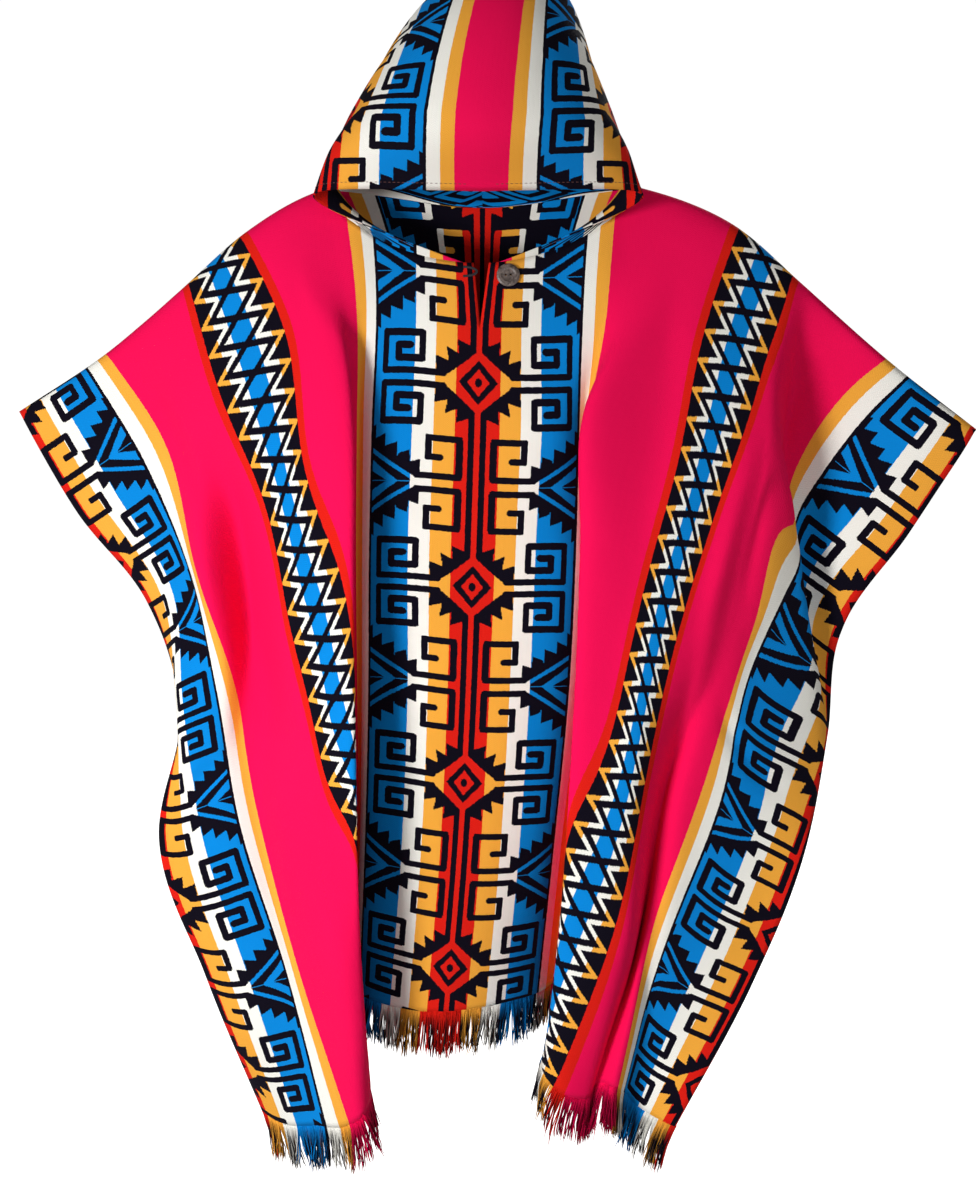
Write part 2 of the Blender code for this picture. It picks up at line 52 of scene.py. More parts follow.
# ------------ sizes, as in the part
HALF_WIDTH = 556.0            # flat cloth, middle to selvedge, mm
LENGTH = 842.0                # flat cloth, shoulder fold to hem, mm
NECK_HALF_WIDTH = 150.0       # neck hole in the flat cloth, mm
NECK_FRONT = 85.0             # how far the hole reaches down the front, mm
NECK_BACK = 30.0              # and down the back, mm
SLIT_END = 145.0              # the front slit's lower end, mm
SLIT_HALF_GAP = 7.0           # half the slit's width at the neck, mm
SLIT_FADE = 25.0              # how quickly its spread dies away to the side, mm
FOLD_BEND = 1.4               # half the distance between front and back, mm,
BEND_REACH = 3.0              # from this far below the fold
SHOULDER_ROLL = (7.0, 26.0)   # extra rounding over the shoulder: height, reach, mm
CLOTH = 1.8                   # wall, mm
CELL = 6.5                    # mesh spacing, mm
DROP_CELL = (4.0, 5.0)        # spacing of the grid of drops, across and along, mm
LEAST_FALL = 0.15             # the cloth falls at least this share of its length

# ------------ shape tables, mm
# The shoulder fold: flat place u and where it lies.
Ridge = namedtuple("Ridge", "u x y z")
RIDGE = table(
    Ridge,
    (-556, -468, 80, -221),
    (-439, -372, 52, -160),
    (-327, -289, 20, -94),
    (-243, -222, 5, -38),
    (-150, -146, 0, 2),
    (0, 5, 0, 6),
    (150, 152, 0, 4),
    (243, 242, -10, -30),
    (327, 308, -22, -85),
    (439, 387, -38, -157),
    (556, 477, -50, -223),
)

# Levels down the cloth, mm from the shoulder fold. Each fold row has its flat
# place u at all seven levels, and its x and y at the six below the shoulder.
LEVELS = (0, 120, 240, 360, 500, 660, 842)
Fold = namedtuple("Fold", "u x y")
FRONT_FOLDS = table(
    Fold,
    # the wearer's right: selvedge, turned edge, band, the sleeve's crest and valley
    ((-556,) * 7, (-409, -336, -304, -322, -280, -227), (60, 40, 20, -30, -30, -10)),
    ((-520,) * 7, (-378, -315, -302, -289, -244, -197), (45, 20, -10, -35, -50, -35)),
    ((-465,) * 7, (-331, -285, -260, -240, -194, -155), (20, 0, -30, -40, -60, -60)),
    ((-439,) * 7, (-307, -277, -245, -222, -183, -130), (10, -30, -30, -36, -60, -84)),
    ((-380, -370, -365, -400, -410, -428, -436),
     (-281, -229, -220, -203, -175, -128), (-12, -30, -15, -52, -68, -87)),
    # the right column's side, front and crest
    ((-327, -327, -327, -327, -365, -412, -432),
     (-255, -205, -178, -170, -156, -124), (-30, -65, -80, -85, -90, -90)),
    ((-243, -243, -243, -285, -320, -388, -424),
     (-173, -155, -145, -144, -135, -117), (-50, -85, -100, -105, -112, -91)),
    ((-160, -150, -194, -240, -286, -364, -412),
     (-130, -116, -117, -118, -118, -111), (-50, -95, -108, -120, -120, -83)),
    # the right pleat's turn and back
    ((-152, -144, -175, -205, -240, -300, -350),
     (-125, -122, -126, -130, -138, -130), (-48, -78, -80, -85, -72, -35)),
    ((-142, -138, -150, -165, -180, -215, -230),
     (-120, -124, -142, -160, -190, -205), (-47, -60, -52, -45, -10, 36)),
    # the flat panel: gold stripe and edge, the middle, the left edge and gold stripe
    ((-131,) * 7, (-114, -116, -118, -120, -122, -132), (-46, -45, -45, -38, -12, 22)),
    ((-105,) * 7, (-95, -101, -105, -110, -117, -127), (-45, -55, -55, -50, -35, -2)),
    ((0,) * 7, (3, 0, -4, -11, -23, -38), (-50, -65, -65, -65, -60, -50)),
    ((105,) * 7, (100, 96, 94, 89, 75, 60), (-45, -55, -55, -50, -35, -10)),
    ((131, 131, 118, 128, 131, 131, 131),
     (123, 104, 112, 108, 92, 76), (-47, -46, -42, -32, -15, 10)),
    # the left pleat's turn
    ((136, 139, 138, 150, 170, 180, 205),
     (131, 107, 118, 125, 132, 130), (-48, -66, -65, -60, -45, -20)),
    # the left column's crest, front, side, valley and outer side
    ((150, 150, 152, 178, 212, 266, 316),
     (141, 100, 98, 93, 86, 73), (-50, -80, -95, -110, -120, -110)),
    ((243, 243, 243, 243, 243, 290, 322),
     (205, 182, 153, 123, 107, 80), (-60, -90, -105, -115, -125, -115)),
    ((300, 327, 327, 327, 327, 327, 335),
     (271, 231, 196, 167, 140, 98), (-66, -90, -105, -110, -125, -112)),
    ((306, 336, 380, 370, 352, 398, 388),
     (277, 256, 218, 180, 165, 117), (-66, -85, -95, -88, -76, -98)),
    ((312, 341, 439, 439, 439, 439, 434),
     (281, 286, 252, 210, 171, 137), (-65, -76, -85, -95, -110, -111)),
    # the left: band, the sleeve's crest and valley, selvedge
    ((315, 343, 455, 465, 465, 465, 475),
     (283, 304, 260, 233, 187, 150), (-63, -66, -80, -90, -100, -86)),
    ((318, 345, 470, 540, 545, 545, 545),
     (284, 312, 342, 313, 263, 191), (-61, -60, -42, -80, -94, -104)),
    ((340, 408, 508, 550, 551, 551, 551),
     (302, 321, 346, 317, 267, 194), (-18, -24, -36, -80, -94, -105)),
    ((556,) * 7, (417, 359, 348, 321, 271, 198), (-50, -30, -32, -80, -94, -106)),
)
BACK_FOLDS = table(
    Fold,
    # the right: selvedge, sleeve fold, then valleys and crests in turn
    ((-556,) * 7, (-405, -335, -296, -300, -270, -230), (92, 87, 80, 70, 66, 64)),
    ((-470,) * 7, (-340, -284, -262, -262, -246, -215), (82, 100, 128, 130, 124, 112)),
    ((-385,) * 7, (-275, -224, -205, -205, -192, -178), (64, 74, 88, 92, 92, 82)),
    ((-300,) * 7, (-208, -172, -160, -160, -155, -152), (58, 90, 118, 132, 142, 148)),
    ((-210,) * 7, (-140, -118, -108, -108, -110, -112), (50, 66, 82, 88, 88, 82)),
    ((-120,) * 7, (-86, -78, -72, -70, -70, -72), (48, 74, 100, 118, 132, 142)),
    # the middle
    ((0,) * 7, (4, 2, 0, -4, -8, -10), (44, 58, 70, 80, 84, 88)),
    # the left: crests and valleys in turn, sleeve fold, selvedge
    ((120,) * 7, (92, 84, 76, 68, 58, 52), (46, 74, 100, 118, 132, 142)),
    ((210,) * 7, (150, 128, 116, 108, 100, 92), (44, 62, 78, 84, 86, 80)),
    ((300,) * 7, (220, 186, 170, 160, 146, 130), (46, 82, 112, 128, 140, 148)),
    ((385,) * 7, (284, 240, 218, 206, 182, 152), (36, 56, 76, 84, 88, 82)),
    ((470,) * 7, (348, 300, 276, 262, 232, 180), (26, 58, 96, 112, 116, 112)),
    ((556,) * 7, (410, 350, 330, 305, 262, 194), (0, 22, 36, 40, 42, 36)),
)

# Share of the warp's length that small creases take up below the sleeve.
TakeUp = namedtuple("TakeUp", "u share")
TAKE_UP = table(TakeUp, (-556, 0.060), (-439, 0.020), (-327, 0.0), (327, 0.0),
                (439, 0.050), (556, 0.130))
TAKE_UP_FROM = 240.0

# The hood's left half: sections from the face opening to the seam down the back.
# Each runs from the middle seam, by two handles, to its place on the neck seam. The
# right half has the same seam and its handles mirrored.
HoodSection = namedtuple("HoodSection", "top upper side")
HOOD_SECTIONS = table(
    HoodSection,
    ((4, -112, 2), (178, -112, 6), (222, -12, 10)),
    ((4, -152, 56), (152, -146, 60), (178, 0, 38)),
    ((4, -138, 118), (124, -136, 120), (144, 8, 30)),
    ((4, -100, 174), (99, -98, 180), (131, 50, 46)),
    ((4, -46, 206), (83, -26, 214), (105, 84, 70)),
    ((4, 16, 212), (0, 66, 150), (0, 84, 62)),
)
HOOD_LEAN = 15.0              # how far the hood leans to +X at HOOD_LEAN_HEIGHT, mm
HOOD_LEAN_HEIGHT = 160.0
NECK_TIP_ANGLE = math.radians(5.0)     # where the hood's front ends, from the slit


# ------------ curves
def tangents(knots, values):
    """Slopes at the knots, from the knots on each side."""
    gap = np.diff(knots, axis=0)
    rise = np.diff(values, axis=0) / gap
    inner = (gap[1:] * rise[:-1] + gap[:-1] * rise[1:]) / (gap[1:] + gap[:-1])
    return np.concatenate([rise[:1], inner, rise[-1:]])


def smooth(knots, values, at):
    """A cubic through the values. Knots and values may differ from place to place."""
    at = np.asarray(at, float)
    knots = np.broadcast_to(np.reshape(knots, (len(knots), -1)), (len(knots), at.size))
    values = np.broadcast_to(np.reshape(values, (len(values), -1)), knots.shape)
    slope = tangents(knots, values)
    span = np.clip((knots[1:-1] <= at).sum(axis=0), 0, len(knots) - 2)
    pick = np.arange(at.size)
    k0, k1 = knots[span, pick], knots[span + 1, pick]
    h = k1 - k0
    t = (at - k0) / h
    return (values[span, pick] * (1 + 2 * t) * (1 - t) ** 2
            + values[span + 1, pick] * t * t * (3 - 2 * t)
            + slope[span, pick] * h * t * (1 - t) ** 2
            + slope[span + 1, pick] * h * t * t * (t - 1))


def ridge(u):
    """Points of the shoulder fold at flat places u, as rows x, y, z."""
    knots = [row.u for row in RIDGE]
    return np.array([smooth(knots, [getattr(row, axis) for row in RIDGE], u)
                     for axis in "xyz"])


class HungCloth:
    """Half of the body, from the shoulder fold down, in the place where it hangs."""

    def __init__(self, folds, facing):
        self.folds = folds
        self.facing = facing                      # -1 front, +1 back
        self.u_grid = np.arange(-HALF_WIDTH, HALF_WIDTH + 1, DROP_CELL[0])
        self.v_grid = np.arange(0, LENGTH + DROP_CELL[1], DROP_CELL[1])
        self.drop = self.measure_drop()

    def fold_lines(self, v):
        """Where every fold line runs at the levels v: flat places, x and y."""
        lines = []
        for fold in self.folds:
            x0, y0, _ = ridge([fold.u[0]])
            lines.append([smooth(LEVELS, fold.u, v),
                          smooth(LEVELS, (x0[0],) + fold.x, v),
                          smooth(LEVELS, (y0[0],) + fold.y, v)])
        return np.array(lines).transpose(1, 0, 2)

    def plan(self, u, v):
        """x and y of the cloth."""
        flat, x, y = self.fold_lines(v)
        height, reach = SHOULDER_ROLL
        bend = FOLD_BEND * np.clip(v / BEND_REACH, 0, 1)
        roll = self.facing * (bend + height * v / reach * np.exp(1 - v / reach))
        return smooth(flat, x, u), smooth(flat, y, u) + roll

    def measure_drop(self):
        """z on a grid: the warp keeps its length, so what x and y leave is drop."""
        u, v = np.meshgrid(self.u_grid, self.v_grid, indexing="ij")
        x, y = (axis.reshape(u.shape) for axis in self.plan(u.ravel(), v.ravel()))
        step = np.diff(self.v_grid)
        fall = np.sqrt(np.maximum(step ** 2 - np.diff(x) ** 2 - np.diff(y) ** 2,
                                  (LEAST_FALL * step) ** 2))
        share = np.interp(u, [row.u for row in TAKE_UP], [row.share for row in TAKE_UP])
        fall *= 1 - np.where(v > TAKE_UP_FROM, share, 0)[:, 1:]
        start = ridge(self.u_grid)[2][:, None]
        return np.hstack([start, start - np.cumsum(fall, axis=1)])

    def points(self, u, v):
        """Points in metres for arrays of flat places."""
        u, v = np.asarray(u, float), np.asarray(v, float)
        x, y = self.plan(u, v)
        last = np.array(self.drop.shape) - 1.001      # just short of the grid's end
        i = np.clip((u - self.u_grid[0]) / DROP_CELL[0], 0, last[0])
        j = np.clip(v / DROP_CELL[1], 0, last[1])
        i0, j0 = i.astype(int), j.astype(int)
        a, b = i - i0, j - j0
        z = (self.drop[i0, j0] * (1 - a) * (1 - b) + self.drop[i0 + 1, j0] * a * (1 - b)
             + self.drop[i0, j0 + 1] * (1 - a) * b + self.drop[i0 + 1, j0 + 1] * a * b)
        return np.stack([x, y, z], axis=-1) * MM


def neck_edge(u, depth):
    """How far down the neck hole reaches at flat places u."""
    return depth * np.sqrt(np.clip(1 - (u / NECK_HALF_WIDTH) ** 2, 0, 1))


def slit_spread(u, v):
    """How far the slit's two edges stand from the middle line, in metres."""
    open_part = np.clip((SLIT_END - v) / (SLIT_END - NECK_FRONT), 0, 1)
    return SLIT_HALF_GAP * MM * open_part * np.exp(-abs(u) / SLIT_FADE)


# Soft troughs (-) and ridges (+) between the main folds. Each runs from one flat
# place to another. Width and height are in mm.
Crease = namedtuple("Crease", "u0 v0 u1 v1 width height")
FRONT_CREASES = table(
    Crease,
    (-345, 170, -450, 440, 16, -14),
    (-360, 110, -455, 330, 20, 6),
    (-385, 400, -430, 760, 26, 8),
    (-310, 480, -390, 760, 22, -7),
    (-185, 60, -245, 300, 24, 4),
    (140, 130, 215, 400, 26, 4),
    (222, 120, 232, 340, 22, -5),
    (330, 150, 385, 430, 22, 7),
    (345, 20, 500, 310, 16, -6),
    (420, 540, 460, 790, 16, -11),
    (340, 620, 415, 820, 20, 7),
    (440, 420, 520, 452, 12, -5),
    (-470, 430, -545, 470, 12, -6),
    (395, 60, 420, 330, 14, -5),
    (-60, 120, -40, 420, 26, -2),
    (70, 300, 60, 760, 22, -2.5),
    (-20, 420, -30, 800, 30, 2.5),
    (210, 40, 200, 300, 24, -3),
    (-210, 60, -190, 260, 26, -3),
    (-480, 60, -440, 220, 20, -3),
    (490, 40, 470, 200, 18, -3),
)
BACK_CREASES = table(
    Crease,
    (-430, 60, -400, 360, 22, -4),
    (-255, 80, -250, 420, 20, -3),
    (-60, 160, -70, 600, 24, -3),
    (60, 120, 75, 520, 22, -3),
    (255, 80, 260, 460, 22, -3),
    (430, 60, 400, 380, 22, -4),
    (-340, 380, -345, 800, 16, 3),
    (160, 420, 165, 820, 16, 3),
    (-165, 460, -160, 820, 16, 3),
    (340, 420, 345, 800, 16, 3),
)


# How far the weave is pulled askew on the front: how much further down the pattern
# reads at each of the levels, and how much further across, in mm.
Pull = namedtuple("Pull", "u along across")
PULLS = table(
    Pull,
    (-556, (6, 6, 14, 18, 28, 28, 18), (0,) * 7),
    (-440, (6, 6, 14, 18, 28, 28, 18), (0,) * 7),
    (-327, (0,) * 7, (0, 0, 4, 10, 8, 0, 0)),
    (-160, (2, 4, 4, 4, 6, 8, 8), (0,) * 7),
    (-105, (4, 6, 6, 8, 12, 16, 16), (0, 0, -2, -2, -6, -10, -10)),
    (-60, (3, 6, 6, 8, 12, 16, 16), (0, 0, -2, -2, -8, -12, -10)),
    (0, (0, 0, 2, 4, 6, 8, 8), (0, 0, 0, 0, -2, -6, -6)),
    (60, (-2, -2, -2, 0, 2, 2, 0), (0, 0, 0, 0, 0, -4, -4)),
    (160, (0,) * 7, (0,) * 7),
    (327, (0,) * 7, (0,) * 7),
    (440, (-4, -8, -12, -10, -8, 8, 8), (0, 0, 0, -12, -12, -4, 0)),
    (475, (-4, -8, -12, -10, -8, 8, 8), (-2, -2, 0, -4, -2, 4, 6)),
    (510, (-4, -8, -12, -10, -8, 8, 8), (-2, -2, 0, 0, 8, 10, 12)),
    (556, (-4, -8, -12, -10, -8, 8, 8), (-2, -2, 0, 0, 8, 10, 12)),
)


def pulled(u, v):
    """The pattern's place at flat places of the front, from the table of pulls."""
    knots = [row.u for row in PULLS]
    lines = np.array([[smooth(LEVELS, row.across, v.ravel()),
                       smooth(LEVELS, row.along, v.ravel())]
                      for row in PULLS]).transpose(1, 0, 2)
    across, along = (smooth(knots, line, u.ravel()).reshape(u.shape) for line in lines)
    return u + across, v + along


BROAD_RIPPLE, FINE_RIPPLE = 0.7, 0.35     # the cloth's faint unevenness, mm


def relief(creases, u, v):
    """Height of the creases and of the cloth's faint unevenness, in mm."""
    height = (BROAD_RIPPLE * np.sin(u / 37.0 + 1.3 * np.sin(v / 61.0))
              * np.sin(v / 83.0 + u / 190.0))
    height += FINE_RIPPLE * np.sin(u / 17.0 + 2.0 * np.sin(v / 47.0)) * np.sin(v / 39.0)
    for row in creases:
        du, dv = row.u1 - row.u0, row.v1 - row.v0
        t = ((u - row.u0) * du + (v - row.v0) * dv) / (du * du + dv * dv)
        near = np.clip(t, 0, 1)
        gap = np.hypot(u - row.u0 - near * du, v - row.v0 - near * dv)
        fade = np.sin(math.pi * np.clip(t, 0.02, 0.98)) ** 0.7
        height += row.height * fade * np.exp(-(gap / row.width) ** 2)
    return height


# ------------ mesh helpers
def add(name, data):
    """Put a new object into the scene."""
    made = bpy.data.objects.new(name, data)
    bpy.context.scene.collection.objects.link(made)
    return made


def new_mesh(name, points, faces, uv=None):
    """An object from points, faces and a flat place for each point."""
    mesh = bpy.data.meshes.new(name)
    mesh.from_pydata([tuple(p) for p in points], [], [tuple(f) for f in faces])
    if uv is not None:
        layer = mesh.uv_layers.new(name="flat")
        corners = np.zeros(len(mesh.loops), dtype=np.int32)
        mesh.loops.foreach_get("vertex_index", corners)
        layer.data.foreach_set("uv", np.asarray(uv, np.float32)[corners].ravel())
    mesh.polygons.foreach_set("use_smooth", [True] * len(mesh.polygons))
    mesh.update()
    return add(name, mesh)


def cloth_sheet(name, points, faces, flat, clean):
    """A sheet of the woven cloth with its wall and its own look on the reverse."""
    made = new_mesh(name, points, faces, flat * MM)
    for look in (CLOTH_LOOK, REVERSE_LOOK):
        made.data.materials.append(look)
    mesh = bmesh.new()
    mesh.from_mesh(made.data)
    clean(mesh)
    mesh.to_mesh(made.data)
    mesh.free()
    wall = made.modifiers.new("wall", "SOLIDIFY")
    wall.thickness = CLOTH * MM
    wall.offset = 0.0
    wall.material_offset = 1
    return made


def tube_faces(base, rings, sides):
    """The faces of a closed tube whose rings of points are numbered from base."""
    last = base + (rings - 1) * sides
    faces = [(ring + side, ring + (side + 1) % sides,
              ring + (side + 1) % sides + sides, ring + side + sides)
             for ring in range(base, last, sides) for side in range(sides)]
    return faces + [tuple(base + side for side in reversed(range(sides))),
                    tuple(last + side for side in range(sides))]


def place(made, *nodes, slot=None):
    """Hang a piece on the part, in place of its CAD nodes."""
    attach(made, "root")
    if nodes:
        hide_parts(*nodes)
    return made


# ------------ shader helpers
class Graph:
    """Builds a node tree from nested calls."""

    def __init__(self, name):
        self.material = bpy.data.materials.new(name)
        self.material.use_nodes = True
        self.nodes = self.material.node_tree.nodes
        self.links = self.material.node_tree.links
        self.shader = self.nodes["Principled BSDF"]

    def node(self, kind, **settings):
        made = self.nodes.new(kind)
        for key, value in settings.items():
            setattr(made, key, value)
        return made

    def put(self, socket, value):
        if isinstance(value, bpy.types.NodeSocket):
            self.links.new(value, socket)
        else:
            socket.default_value = value

    def fed(self, kind, values, **settings):
        """A node with values in its first sockets."""
        made = self.node(kind, **settings)
        for socket, value in zip(made.inputs, values):
            self.put(socket, value)
        return made

    def named(self, kind, **values):
        """A node with values in the sockets of those names."""
        made = self.node(kind)
        for name, value in values.items():
            self.put(made.inputs[name], value)
        return made

    def math(self, operation, *values):
        return self.fed("ShaderNodeMath", values, operation=operation).outputs[0]

    def plus(self, a, b):
        return self.math("ADD", a, b)

    def minus(self, a, b):
        return self.math("SUBTRACT", a, b)

    def times(self, a, b):
        return self.math("MULTIPLY", a, b)

    def vector(self, operation, *values):
        made = self.fed("ShaderNodeVectorMath", values, operation=operation)
        return made.outputs["Value" if operation in ("DOT_PRODUCT", "LENGTH") else 0]

    def combine(self, x, y, z=0.0):
        return self.fed("ShaderNodeCombineXYZ", (x, y, z)).outputs[0]

    def separate(self, value):
        return self.fed("ShaderNodeSeparateXYZ", (value,)).outputs

    def mix(self, factor, a, b, blend="MIX"):
        made = self.node("ShaderNodeMix", data_type="RGBA", blend_type=blend)
        self.put(made.inputs[0], factor)
        self.put(made.inputs[6], a)
        self.put(made.inputs[7], b)
        return made.outputs[2]

    def noise(self, vector, scale, detail=2.0, rough=0.5):
        return self.named("ShaderNodeTexNoise", Vector=vector, Scale=scale,
                          Detail=detail, Roughness=rough).outputs[0]

    def object_place(self):
        return self.node("ShaderNodeTexCoord").outputs["Object"]

    def line(self, start, slope, value):
        """A value scaled by a slope, from a start."""
        return self.plus(start, self.times(value, slope))

    def between(self, value, low, high):
        """1 where a value lies between two others."""
        return self.times(self.math("GREATER_THAN", value, low),
                          self.math("LESS_THAN", value, high))

    def surface(self, **values):
        """Set the shader's inputs: each is named with _ for its spaces."""
        for name, value in values.items():
            self.put(self.shader.inputs[name.replace("_", " ")], value)

    def paint(self, colour, tone, roughness, shine=0.5):
        """The base colour, made lighter or darker by a tone, and its gloss."""
        shaded = self.mix(1.0, colour, self.combine(tone, tone, tone), "MULTIPLY")
        self.surface(Base_Color=shaded, Roughness=roughness, Specular_IOR_Level=shine)

    def bump(self, height, strength, distance):
        """Raise the surface by a height; the distance is in metres."""
        made = self.named("ShaderNodeBump", Height=height, Strength=strength,
                          Distance=distance)
        self.surface(Normal=made.outputs[0])

    def extreme(self, operation, values):
        """The least or the greatest of many values."""
        while len(values) > 1:
            pairs = [values[i:i + 2] for i in range(0, len(values), 2)]
            values = [self.math(operation, *pair) if len(pair) == 2 else pair[0]
                      for pair in pairs]
        return values[0]

    def polygon(self, place, corners):
        """Distance outside a convex polygon, its corners anticlockwise."""
        sides = []
        for (x0, y0), (x1, y1) in zip(corners, corners[1:] + corners[:1]):
            length = math.hypot(x1 - x0, y1 - y0)
            nx, ny = (y1 - y0) / length, (x0 - x1) / length
            sides.append(self.vector("DOT_PRODUCT", place,
                                     (nx, ny, -(nx * x0 + ny * y0))))
        return self.extreme("MAXIMUM", sides)

    def bar(self, place, a, b, half):
        """Distance outside a straight bar along either axis of the cloth, its ends round."""
        middle = ((a[0] + b[0]) / 2, (a[1] + b[1]) / 2, 1.0)
        reach = (abs(a[0] - b[0]) / 2, abs(a[1] - b[1]) / 2, 0.0)
        away = self.vector("SUBTRACT", self.vector(
            "ABSOLUTE", self.vector("SUBTRACT", place, middle)), reach)
        outside = self.vector("LENGTH", self.vector("MAXIMUM", away, (0, 0, 0)))
        return self.minus(outside, half)


# ------------ the woven pattern
# Colours are linear.
PINK = (0.90, 0.0042, 0.088, 1)
RED = (0.72, 0.013, 0.007, 1)
GOLD = (0.90, 0.40, 0.048, 1)
WHITE = (0.92, 0.90, 0.83, 1)
BLUE = (0.002, 0.235, 0.68, 1)
NAVY = (0.0042, 0.0030, 0.0080, 1)

# The stripes from the middle of the cloth to the middle of the zigzag band, where
# the cloth mirrors: each colour from this distance on, in mm.
Stripe = namedtuple("Stripe", "start colour")
STRIPES = table(Stripe, (0, RED), (22, GOLD), (42, WHITE), (62, BLUE), (102, NAVY),
                (105, WHITE), (119, GOLD), (131, PINK), (243, RED), (252, GOLD),
                (263.2, WHITE), (275.5, BLUE))
MIRROR = 285.0
PINK_STRIPE = (131, 243)      # plain weave
PLAIN_REVERSE = (102.0, 252.0)          # its reverse is like its face
REPEAT = 200.0                # diamonds along the warp
ALL_DOWN = 20 * REPEAT        # added to places along, so that none is below zero
ZIGZAG = REPEAT / 7
ZIGZAG_SLOPE = 1.5            # how far across a zigzag runs for each mm along
ZIGZAG_LINE = 5.3             # half the width of its dark line
ZIGZAG_EDGE = 12.8            # from here outwards it is dark
BAND_HALF_WIDTH = 33.0        # of the zigzag band
STROKE = 3.4                  # half the width of a dark line
MIDDLE_STROKE = 3.2           # and of the middle bar
YARN_STEP = 0.8               # the figures follow whole yarns of this width
RIB_PITCH = 1.9               # of the weave's ribs
RIB_SLANT = 2.6               # their phase for each mm across
HERRINGBONE = 2.7             # width of a column of ribs with one slant
WARP_RATE = 5.2               # of the fine grooves between warps
FIGURED_WEAVE, PLAIN_WEAVE = 0.13, 0.05          # how strongly the ribs show
CLOUDY, FUZZY = 0.10, 0.12    # how strongly uneven dyeing and fuzz show
CLOTH_SHINE = 0.04

# The dark shapes round a diamond: across from the middle, and along from the diamond.
SPIRAL = ((34, 6.2), (92.5, 6.2), (92.5, 41.6), (54.8, 41.6), (54.8, 17.7),
          (78.6, 17.7), (78.6, 29.7), (66.5, 29.7))
MIDDLE_BAR = ((6.1, 30.0), (6.1, 100.0))
STAR = (
    [(33.5, 3.2), (40.4, 3.2), (42.4, 22.6), (29.5, 18.6), (27.3, 8.4)],
    [(22.0, 12.3), (27.3, 8.4), (29.5, 18.6), (32.0, 32.0), (20.2, 26.6), (16.0, 17.4)],
    [(16.0, 17.4), (20.2, 26.6), (21.3, 39.8), (10.0, 35.2), (6.0, 26.0)],
    [(3.0, 28.6), (6.0, 26.0), (10.0, 35.2), (3.0, 36.0)],
)
DIAMOND_OUTER, DIAMOND_INNER = (19.8, 21.4), (11.2, 13.1)
EYE = (3.8, 4.4)

# The dark shapes round a chevron, with the distance along taken from the chevron.
HOOK = ((56, 6.9), (17, 6.9), (17, 43.7), (46.2, 43.7), (46.2, 25.2), (35, 25.2))
WING = (
    [(53.0, 3.3), (56.0, 3.3), (62.5, 7.3), (63.3, 19.0), (53.0, 22.6)],
    [(62.5, 7.3), (75.2, 15.0), (75.2, 26.6), (63.6, 30.8), (62.8, 20.0)],
    [(75.0, 14.9), (88.5, 23.0), (88.5, 33.8), (75.5, 38.1)],
    [(88.2, 22.9), (102.6, 31.5), (102.6, 39.6), (88.6, 46.4)],
    [(99.7, 29.8), (102.6, 31.5), (102.6, 53.3), (99.9, 54.5)],
)
CHEVRONS = (
    [(61.5, 0.0), (73.7, 0.0), (102.6, 20.0), (102.6, 26.8), (63.0, 3.1)],
    [(85.0, 0.0), (102.6, 0.0), (102.6, 9.3)],
)


def fold_back(graph, value, at):
    """Mirror a coordinate about a place."""
    return graph.minus(at, graph.math("ABSOLUTE", graph.minus(value, at)))


def stripe_colour(graph, across):
    """The colour of the stripe at a distance across."""
    ramp = graph.node("ShaderNodeValToRGB")
    ramp.color_ramp.interpolation = "CONSTANT"
    stops = ramp.color_ramp.elements
    while len(stops) < len(STRIPES):
        stops.new(0.5)
    for stop, stripe in zip(stops, STRIPES):
        stop.position = stripe.start / MIRROR
        stop.color = stripe.colour
    graph.put(ramp.inputs[0], graph.math("DIVIDE", across, MIRROR))
    return ramp.outputs[0]


def dark_figures(graph, across, along):
    """1 inside the dark figures round the diamonds and the chevrons."""
    place_a = graph.combine(across, along, 1.0)
    place_b = graph.combine(across, graph.minus(REPEAT / 2, along), 1.0)
    shapes = [graph.bar(place_a, a, b, STROKE) for a, b in zip(SPIRAL[:-1], SPIRAL[1:])]
    shapes += [graph.bar(place_b, a, b, STROKE) for a, b in zip(HOOK[:-1], HOOK[1:])]
    shapes.append(graph.bar(place_a, *MIDDLE_BAR, MIDDLE_STROKE))
    shapes += [graph.polygon(place_a, corners) for corners in STAR]
    shapes += [graph.polygon(place_b, corners) for corners in WING + CHEVRONS]
    outer = graph.vector("DOT_PRODUCT", place_a,
                         (1 / DIAMOND_OUTER[0], 1 / DIAMOND_OUTER[1], -1.0))
    inner = graph.vector("DOT_PRODUCT", place_a,
                         (-1 / DIAMOND_INNER[0], -1 / DIAMOND_INNER[1], 1.0))
    shapes.append(graph.math("MAXIMUM", outer, inner))
    eye = graph.vector("LENGTH", graph.vector("MULTIPLY", place_a,
                                              (1 / EYE[0], 1 / EYE[1], 0.0)))
    shapes.append(graph.minus(eye, 1.0))
    return graph.math("LESS_THAN", graph.extreme("MINIMUM", shapes), 0.0)


def dark_zigzags(graph, across, v_yarn):
    """1 inside the dark lines and edges of the zigzag band."""
    side = graph.minus(MIRROR, across)
    level = graph.math("PINGPONG", graph.plus(v_yarn, ALL_DOWN + ZIGZAG / 2), ZIGZAG / 2)
    line = graph.minus(side, graph.times(level, ZIGZAG_SLOPE))
    dark_line = graph.math("LESS_THAN", graph.math("ABSOLUTE", line), ZIGZAG_LINE)
    dark_edge = graph.math("GREATER_THAN", line, ZIGZAG_EDGE)
    in_band = graph.math("LESS_THAN", side, BAND_HALF_WIDTH)
    return graph.times(in_band, graph.math("MAXIMUM", dark_line, dark_edge))


